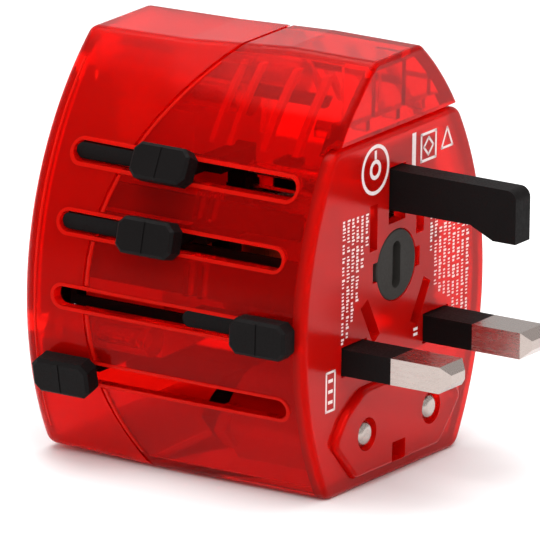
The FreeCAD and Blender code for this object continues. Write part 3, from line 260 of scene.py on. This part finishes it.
# %% [markdown]
# ## White ink
# Pad printing is thin, so the red shows through it a little and its edges are uneven. Two
# pinkish whites, mixed by a very fine noise, give that worn look.

# %% White ink
white_ink, tree, shader, coords = new_material("white_ink", {"Specular IOR Level": 0.3})
patchy = noise(tree, coords, 2200.0, 3.0)
ink_colour = blend_colours(tree, patchy, (0.90, 0.80, 0.79), (0.78, 0.60, 0.58))
tree.links.new(ink_colour, shader.inputs["Base Color"])
tree.links.new(spread(tree, patchy, 0.45, 0.6), shader.inputs["Roughness"])
print("ink:", white_ink.name)

# %% [markdown]
# ## A finish for every node
# Each CAD node gets exactly one material, chosen by what that piece is made of. One table
# holds the whole choice, and the count at the end shows that no node was left out.

# %% Give every CAD node its finish
FINISHES = {
    red_shell: ("front_shell",),
    red_rear: ("rear_shell",),
    red_plate: ("front_plate", "euro_block"),
    red_inner: ("contact_carrier", "right_guide"),
    inner_black: ("left_guide", "socket_shutter", "uk_carriage",
                  "us_carriage", "aus_carriage", "euro_carriage", "fuse_holder", "euro_pin_sleeves"),
    black_plastic: ("socket_face", "uk_knob", "us_knob", "aus_knob", "euro_knob", "uk_earth_pin",
                    "uk_pin_sleeves"),
    grey_plastic: ("fuse_cap",),
    nickel: ("uk_line_pin", "uk_neutral_pin", "us_blades", "aus_blades", "euro_pins", "fuse_end_caps"),
    steel: ("housing_screws", "guide_rods", "fuse_spring", "shutter_springs"),
    brass: ("live_contact", "neutral_contact", "live_busbar", "neutral_busbar"),
    ceramic: ("fuse_body",),
}
for material, names in FINISHES.items():
    for name in names:
        mesh = nodes[name].data
        mesh.materials.clear()
        mesh.materials.append(material)
print("nodes with a finish:", sum(len(names) for names in FINISHES.values()), "of", len(nodes))

# %% [markdown]
# ## Adding a piece
# A new piece is built as a bmesh in its final place. It becomes an object at the origin, so
# its place is in its mesh. It then rides on a body, so it follows when that body slides.

# %% A helper that finishes a piece
def add_piece(name, shape, material, body):
    """Turns a bmesh into an object at the origin that rides on a body."""
    bmesh.ops.recalc_face_normals(shape, faces=shape.faces)
    mesh = bpy.data.meshes.new(name)
    shape.to_mesh(mesh)
    shape.free()
    mesh.materials.append(material)
    piece = bpy.data.objects.new(name, mesh)
    bpy.context.collection.objects.link(piece)
    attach(piece, body)
    print("%-18s %6d faces" % (name, len(mesh.polygons)))
    return piece


# %% [markdown]
# ## Printed marks
# The front plate carries white pad printing: two blocks of small lines and a few signs. Ink is
# a real layer, so each stroke is a thin block that stands on the plate. The marks here are
# plain ticks and simple figures that spell nothing.

# %% Strokes of ink
INK_T = 0.03 * MM
INK_SINK = 0.02 * MM
CORNER_FILL = 0.6
RING_STEPS = 56


def ink_bar(shape, x, z, width, height, turn=0.0):
    """A straight stroke of ink, centred at (x, z) on the plate, in millimetres and degrees."""
    middle = Vector((x * MM, FACE_Y + (INK_SINK - INK_T) / 2, z * MM))
    size = Matrix.Diagonal((width * MM, INK_T + INK_SINK, height * MM, 1))
    place = Matrix.Translation(middle) @ Matrix.Rotation(math.radians(turn), 4, "Y") @ size
    bmesh.ops.create_cube(shape, size=1.0, matrix=place)


def ink_outline(shape, corners, width):
    """A closed line through the corners, with each stroke a little long to fill the corners."""
    for (x0, z0), (x1, z1) in zip(corners, corners[1:] + corners[:1]):
        length = math.hypot(x1 - x0, z1 - z0)
        turn = math.degrees(math.atan2(x1 - x0, z1 - z0))
        ink_bar(shape, (x0 + x1) / 2, (z0 + z1) / 2, width, length + width * CORNER_FILL, turn)


def ink_ring(shape, x, z, outer, inner):
    """A round line: a small upright rectangle spun about the ring's middle."""
    front, back = FACE_Y - INK_T, FACE_Y + INK_SINK
    corners = [(inner, front), (outer, front), (outer, back), (inner, back)]
    section = [shape.verts.new(((x + r) * MM, y, z * MM)) for r, y in corners]
    edges = [shape.edges.new((section[i], section[(i + 1) % 4])) for i in range(4)]
    bmesh.ops.spin(shape, geom=section + edges, cent=(x * MM, 0, z * MM), axis=(0, 1, 0),
                   angle=math.tau, steps=RING_STEPS, use_merge=True)


print("ink stands %.2f mm proud" % (INK_T / MM))

# %% [markdown]
# ## Two blocks of small lines
# Seen small, printed text is columns of ticks in word-like groups. Ticks of two heights and
# three widths, drawn from a seeded random source, read as text at arm's length. The blocks
# stop short of the pins' openings.

# %% Two blocks of small lines
LEFT_LINES = ((-14.4, 22.9, 41.1), (-13.15, 23.4, 41.1), (-11.9, 25.0, 41.0), (-10.65, 28.4, 41.0),
              (-9.4, 33.2, 40.9), (-8.15, 36.2, 40.9))
RIGHT_LINES = ((9.6, 31.2, 38.6), (10.85, 25.7, 38.6), (12.1, 24.8, 34.4), (13.35, 24.2, 34.8),
               (14.6, 23.2, 38.6), (15.85, 21.2, 38.6), (17.1, 20.8, 38.4), (18.35, 20.4, 37.9),
               (19.6, 20.1, 36.8))


TICK_TALL = 0.72
TICK_LOW = 0.5
TICK_WIDTHS = (0.2, 0.28, 0.34)
TICK_STEP = 0.52
WORD_GAP = 0.36
WORD_LENGTHS = (2, 8)


def print_lines(name, lines, seed):
    """Columns of ticks in word-like groups; each column is (x, lowest z, highest z)."""
    chance = random.Random(seed)
    shape = bmesh.new()
    for x, low, high in lines:
        z = high
        left_in_word = chance.randint(*WORD_LENGTHS)
        while z > low:
            tall = chance.choice((TICK_LOW, TICK_LOW, TICK_TALL))
            ink_bar(shape, x - (TICK_TALL - tall) / 2, z, tall, chance.choice(TICK_WIDTHS))
            z -= TICK_STEP
            left_in_word -= 1
            if left_in_word == 0:
                z -= WORD_GAP
                left_in_word = chance.randint(*WORD_LENGTHS)
    return add_piece(name, shape, white_ink, "housing")


print_lines("print_left_lines", LEFT_LINES, 5)
print_lines("print_right_lines", RIGHT_LINES, 9)

# %% [markdown]
# ## Signs above and below the lines
# Above the blocks stand a ring with a second ring in it, a bar, a framed diamond and a
# triangle. Below are a small ladder and two short bars. A sign is a few strokes: bars for
# straight lines, and one spun section for each ring.

# %% Signs
RING_X = -6.2
RING_Z = 47.2
FRAME = [(6.3, 45.6), (10.3, 45.6), (10.3, 49.6), (6.3, 49.6)]
DIAMOND = [(8.3, 46.3), (9.6, 47.6), (8.3, 48.9), (7.0, 47.6)]
TRIANGLE = [(11.9, 46.4), (14.9, 46.4), (13.4, 49.3)]
LADDER = [(-18.6, 13.6), (-16.3, 13.6), (-16.3, 19.4), (-18.6, 19.4)]
FRAME_LINE = 0.4
THIN_LINE = 0.35


def print_signs():
    shape = bmesh.new()
    ink_ring(shape, RING_X, RING_Z, 3.75, 3.2)
    ink_ring(shape, RING_X, RING_Z, 1.5, 0.9)
    ink_bar(shape, RING_X, 49.4, 0.55, 1.3)
    ink_bar(shape, 4.3, 47.9, 1.0, 5.0)
    ink_outline(shape, FRAME, FRAME_LINE)
    for corners in (DIAMOND, TRIANGLE, LADDER):
        ink_outline(shape, corners, THIN_LINE)
    for z in (14.9, 16.5, 18.1):
        ink_bar(shape, -17.45, z, 1.2, 0.5)
    for z in (19.8, 20.6):
        ink_bar(shape, 5.6, z, 1.1, 0.4)
    return add_piece("print_signs", shape, white_ink, "housing")


print_signs()

# %% [markdown]
# ## Painted highlights round the slots
# A clear wall catches the light where it is cut, so each of the four slots has a glowing
# outline. That highlight is painted as a low bead of brighter red: a flat ring shaped like the
# slot, laid onto the curved side. A circle is stretched into a slot by moving its two halves
# apart, and the long edges are cut up so that they can bend with the side.

# %% The side's surface and a flat rim
RIM_W = 0.5 * MM
RIM_T = 0.12 * MM
RIM_SINK = 0.15 * MM
SLOT_R = 1.5 * MM
RIM_CUTS = 10
# each slot's height, then the depths of its front and rear ends, in millimetres
SLOTS = {"us": (46.3, 4.9, 43.4), "aus": (36.5, 4.9, 43.4),
         "uk": (25.55, 2.9, 43.4), "euro": (14.4, 3.6, 46.2)}
# depth, then how far each side has drawn in there, in millimetres
SIDE_NARROWING = ((15.0, 0.0), (32.0, 0.2), (49.0, 0.6))


def side_surface(y, z):
    """X of the left side at a place; the side draws in a little towards the back."""
    depth = (y - FACE_Y) / MM
    drawn_in = 0.0
    for (near, less), (far, more) in zip(SIDE_NARROWING, SIDE_NARROWING[1:]):
        share = min(max((depth - near) / (far - near), 0.0), 1.0)
        drawn_in += (more - less) * share
    return -(half_width(z) - drawn_in * MM)


def flat_rim(reach):
    """A flat ring of faces shaped like a slot, upright in the plane x = 0."""
    rim = bmesh.new()
    turn = Matrix.Rotation(math.radians(90), 4, "Y")
    bmesh.ops.create_circle(rim, segments=48, radius=SLOT_R, matrix=turn)
    grown = bmesh.ops.extrude_edge_only(rim, edges=rim.edges[:])["geom"]
    grown = [item for item in grown if isinstance(item, bmesh.types.BMVert)]
    bmesh.ops.scale(rim, verts=grown, vec=(1, 1 + RIM_W / SLOT_R, 1 + RIM_W / SLOT_R))
    for vert in rim.verts:
        vert.co.y += math.copysign(reach, vert.co.y)
    long_edges = [edge for edge in rim.edges if edge.calc_length() > reach]
    bmesh.ops.subdivide_edges(rim, edges=long_edges, cuts=RIM_CUTS, use_grid_fill=True)
    return rim


print("rims %.1f mm wide round %d slots" % (RIM_W / MM, len(SLOTS)))

# %% [markdown]
# ## Laying the rims on the side
# Each flat rim moves to its slot, and every vertex slides sideways onto the housing's surface.
# The faces are then extruded outwards into a bead. It starts a little inside the wall, so
# there is no gap under it.

# %% Slot rims, painted highlights
# The rims are painted highlights, not moulded beads.
def slot_rim_highlights():
    shape = bmesh.new()
    for z, front, rear in SLOTS.values():
        rim = flat_rim((rear - front) / 2 * MM - SLOT_R)
        for vert in rim.verts:
            vert.co.y += FACE_Y + (front + rear) / 2 * MM
            vert.co.z += z * MM
            vert.co.x = side_surface(vert.co.y, vert.co.z) + RIM_SINK
        raised = bmesh.ops.extrude_face_region(rim, geom=rim.faces[:])["geom"]
        top = [item for item in raised if isinstance(item, bmesh.types.BMVert)]
        bmesh.ops.translate(rim, verts=top, vec=(-RIM_SINK - RIM_T, 0, 0))
        part = bpy.data.meshes.new("rim")
        rim.to_mesh(part)
        rim.free()
        shape.from_mesh(part)
        bpy.data.meshes.remove(part)
    return add_piece("slot_rim_highlights", shape, highlight_red, "housing")


slot_rim_highlights()

# %% [markdown]
# ## The seam between the two shells
# The front and the rear shell meet along an arc that bulges backwards. The clear edge there
# gathers light, and that highlight is painted as a thin bright bead beside the joint. It is a
# strip: a small outline is placed at many heights, each lying on the curved side, and the outlines are
# bridged in turn.

# %% Strips that follow the housing's side
SEAM_R = 48.0
SEAM_BACK = 38.0
SEAM_Z = 27.1
SEAM_LOW = 2.6
SEAM_HIGH = 60.2
SLOT_CLEAR = 2.2
STRIP_STEP = 1.2


def seam_y(z_mm):
    return FACE_Y + (SEAM_BACK - SEAM_R + math.sqrt(SEAM_R ** 2 - (z_mm - SEAM_Z) ** 2)) * MM


def strip_outline(shape, side, z, section):
    """One outline of a strip at height z, as a closed loop of edges."""
    lean = math.sqrt(1 - ((z * MM - WIDEST_Z) / SIDE_R) ** 2)
    corners = []
    for y, depth in section(z):
        x = side * (side_surface(y, z * MM) + depth * MM / lean)
        corners.append(shape.verts.new((x, y, z * MM)))
    return [shape.edges.new(ends) for ends in zip(corners, corners[1:] + corners[:1])]


def side_strip(shape, side, low, high, section):
    """A strip up the side; section(z) lists its corners as (y, depth below the surface)."""
    steps = max(2, int((high - low) / STRIP_STEP))
    below = first = strip_outline(shape, side, low, section)
    for step in range(1, steps + 1):
        above = strip_outline(shape, side, low + step * (high - low) / steps, section)
        bmesh.ops.bridge_loops(shape, edges=below + above)
        below = above
    bmesh.ops.holes_fill(shape, edges=first + below)


print("seam arc radius %.0f mm" % SEAM_R)

# %% [markdown]
# ## The highlight beads
# A bead's outline is a low ridge: a flat foot inside the wall, two low shoulders and a crest.
# On the left the seam's bead stops at each slot. A finer bead paints the highlight that runs
# in front of the rounded back edge.

# %% Seam and back-edge highlight beads
BEAD_FOOT = 0.3
SEAM_HIGHLIGHT_RIDGE = (0.55, 0.04, 0.1)
REAR_HIGHLIGHT_RIDGE = (0.35, 0.02, 0.07)
REAR_HIGHLIGHT_DEPTH = 46.9
REAR_HIGHLIGHT_SPAN = (4.0, 58.0)


def ridge(y, width, shoulder, crest):
    """A low ridge in front of y; depths below the surface are positive."""
    front, middle = y - width * MM, y - width / 2 * MM
    return (front, BEAD_FOOT), (front, -shoulder), (middle, -crest), (y, -shoulder), (y, BEAD_FOOT)


def seam_section(z):
    return ridge(seam_y(z), *SEAM_HIGHLIGHT_RIDGE)


def rear_section(z):
    return ridge(FACE_Y + REAR_HIGHLIGHT_DEPTH * MM, *REAR_HIGHLIGHT_RIDGE)


# Painted highlights along the shell seam and in front of the rounded back edge.
def seam_highlight_beads():
    shape = bmesh.new()
    side_strip(shape, -1, SEAM_LOW, SEAM_HIGH, seam_section)
    stops = [SEAM_LOW]
    for slot in sorted(SLOTS.values()):
        stops += [slot[0] - SLOT_CLEAR, slot[0] + SLOT_CLEAR]
    stops.append(SEAM_HIGH)
    for low, high in zip(stops[::2], stops[1::2]):
        side_strip(shape, 1, low, high, seam_section)
    for side in (1, -1):
        side_strip(shape, side, *REAR_HIGHLIGHT_SPAN, rear_section)
    return add_piece("seam_highlight_beads", shape, highlight_red, "housing")


seam_highlight_beads()

# %% [markdown]
# ## Ribs behind the upper walls
# Thin ribs stiffen the walls above the slots. They lie just inside the wall, and a dark rail
# runs across them further in, in front of the screws. Both are plain strips, and through the
# clear wall they show as soft bands.

# %% Inner ribs and rails
# each rib's depth and thickness, in millimetres
RIB_PLACES = ((7.0, 1.0), (12.5, 1.0), (18.5, 0.8), (21.5, 0.8))
RIB_TOP = 60.0
RIB_BOTTOM = 49.8
RIB_SPAN = (1.85, 2.9)
RAIL_DEPTHS = (6.3, 19.6)
RAIL_HEIGHTS = (55.9, 57.2)
RAIL_SPAN = (2.95, 3.8)


def block_section(depths, span):
    """A plain bar's outline between two depths, and between two depths below the surface."""
    near, far = (FACE_Y + depth * MM for depth in depths)
    outer, inner = span
    return lambda z: ((near, outer), (far, outer), (far, inner), (near, inner))


def inner_ribs():
    shape = bmesh.new()
    for depth, thick in RIB_PLACES:
        section = block_section((depth, depth + thick), RIB_SPAN)
        for side in (1, -1):
            side_strip(shape, side, RIB_BOTTOM, RIB_TOP, section)
    return add_piece("inner_ribs", shape, red_inner, "housing")


def dark_rails():
    """A black rail under each upper wall, in front of the screws."""
    shape = bmesh.new()
    section = block_section(RAIL_DEPTHS, RAIL_SPAN)
    for side in (1, -1):
        side_strip(shape, side, *RAIL_HEIGHTS, section)
    return add_piece("dark_rails", shape, inner_black, "housing")


inner_ribs()
dark_rails()

# %% [markdown]
# ## Studs behind the front plate
# Three short dark studs lie just behind the plate and show through it as soft round spots.
# Each is a short cylinder turned to point along Y.

# %% Plate studs
STUDS = ((-15.0, 42.4), (-18.8, 34.0), (-18.8, 24.8))
STUD_R = 1.25
STUD_Y = (2.02, 2.6)
STUD_STEPS = 40


def plate_studs():
    shape = bmesh.new()
    near, far = (FACE_Y + y * MM for y in STUD_Y)
    along_y = Matrix.Rotation(math.radians(90), 4, "X")
    for x, z in STUDS:
        place = Matrix.Translation((x * MM, (near + far) / 2, z * MM)) @ along_y
        bmesh.ops.create_cone(shape, cap_ends=True, segments=STUD_STEPS, radius1=STUD_R * MM,
                              radius2=STUD_R * MM, depth=far - near, matrix=place)
    return add_piece("plate_studs", shape, inner_black, "housing")


plate_studs()

# %% [markdown]
# ## The table
# The adapter stands on a plain, pale surface that is far wider than the view, so no edge
# shows. It is staging, not part of the object.

# %% The table
TABLE_HALF = 4.0


def make_floor():
    sheet = bmesh.new()
    bmesh.ops.create_grid(sheet, x_segments=2, y_segments=2, size=TABLE_HALF)
    mesh = bpy.data.meshes.new("table_top")
    sheet.to_mesh(mesh)
    sheet.free()
    floor = bpy.data.objects.new("table_top", mesh)
    bpy.context.collection.objects.link(floor)
    finish = {"Roughness": 0.6, "Specular IOR Level": 0.2}
    material, tree, shader, coords = new_material("white_table", finish)
    tone = blend_colours(tree, noise(tree, coords, 3.0), (0.93, 0.93, 0.93), (0.92, 0.92, 0.92))
    tree.links.new(tone, shader.inputs["Base Color"])
    mesh.materials.append(material)


make_floor()
print("table %.0f m across" % (2 * TABLE_HALF))

# %% [markdown]
# ## Soft light from above
# A wide softbox overhead does most of the work, and a smaller, weaker one in front lifts the
# front plate. Big lights close to a small object give the soft edges of a product picture.

# %% Studio light
def area_light(name, place, aim, size, power):
    light = bpy.data.lights.new(name, "AREA")
    light.shape = "RECTANGLE"
    light.size, light.size_y = size
    light.energy = power
    lamp = bpy.data.objects.new(name, light)
    lamp.location = place
    lamp.rotation_euler = (Vector(aim) - Vector(place)).to_track_quat("-Z", "Y").to_euler()
    bpy.context.collection.objects.link(lamp)


AIM = (0, 0, 0.03)
area_light("overhead_softbox", (0.0, 0.1, 0.9), AIM, (0.9, 0.9), 9.5)
area_light("key_softbox", (-0.45, -0.5, 0.85), AIM, (0.5, 0.5), 3.0)
print("lights: overhead and key")

# %% [markdown]
# ## A bright room
# The background is white where the camera sees it. Everything else sees a dimmer white room,
# which fills the shadows without washing out the red.

# %% The room
ROOM_STRENGTH = 0.66
BACKDROP_STRENGTH = 1.0


def make_world():
    world = bpy.data.worlds.new("studio")
    world.use_nodes = True
    tree = world.node_tree
    background = tree.nodes["Background"]
    background.inputs["Color"].default_value = (1, 1, 1, 1)
    paths = tree.nodes.new("ShaderNodeLightPath")
    strength = tree.nodes.new("ShaderNodeMapRange")
    strength.inputs["To Min"].default_value = ROOM_STRENGTH
    strength.inputs["To Max"].default_value = BACKDROP_STRENGTH
    tree.links.new(paths.outputs["Is Camera Ray"], strength.inputs["Value"])
    tree.links.new(strength.outputs["Result"], background.inputs["Strength"])
    bpy.context.scene.world = world


make_world()
bpy.context.scene.view_settings.view_transform = "Standard"
print("room strength %.2f" % ROOM_STRENGTH)

# %% [markdown]
# ## The camera
# A long lens from about 2.4 m away keeps the adapter's edges nearly parallel. The camera looks
# from the front left and a little above, so the sliders and the pins show together. Its axes
# are built from the azimuth, the elevation and a slight roll.

# %% Camera
CAMERA_PLACE = Vector((-1.94425, -1.22706, 0.66967))
CAMERA_AZIMUTH = -57.804
CAMERA_ELEVATION = 15.622
CAMERA_ROLL = 0.927
LENS = 1091.6
SENSOR = 36.0


def make_camera(azimuth, elevation, roll, place, lens):
    a, e, r = (math.radians(v) for v in (azimuth, elevation, roll))
    back = Vector((math.sin(a) * math.cos(e), -math.cos(a) * math.cos(e), math.sin(e)))
    level_right = Vector((math.cos(a), math.sin(a), 0))
    level_up = back.cross(level_right)
    right = level_right * math.cos(r) + level_up * math.sin(r)
    up = level_up * math.cos(r) - level_right * math.sin(r)
    camera_data = bpy.data.cameras.new("product_camera")
    camera_data.lens = lens
    camera_data.sensor_width = SENSOR
    camera_data.clip_end = 20.0
    camera = bpy.data.objects.new("product_camera", camera_data)
    turn = Matrix((right, up, back)).transposed().to_4x4()
    camera.matrix_world = Matrix.Translation(place) @ turn
    bpy.context.collection.objects.link(camera)
    bpy.context.scene.camera = camera


make_camera(CAMERA_AZIMUTH, CAMERA_ELEVATION, CAMERA_ROLL, CAMERA_PLACE, LENS)
print("camera %.2f m from the adapter" % CAMERA_PLACE.length)
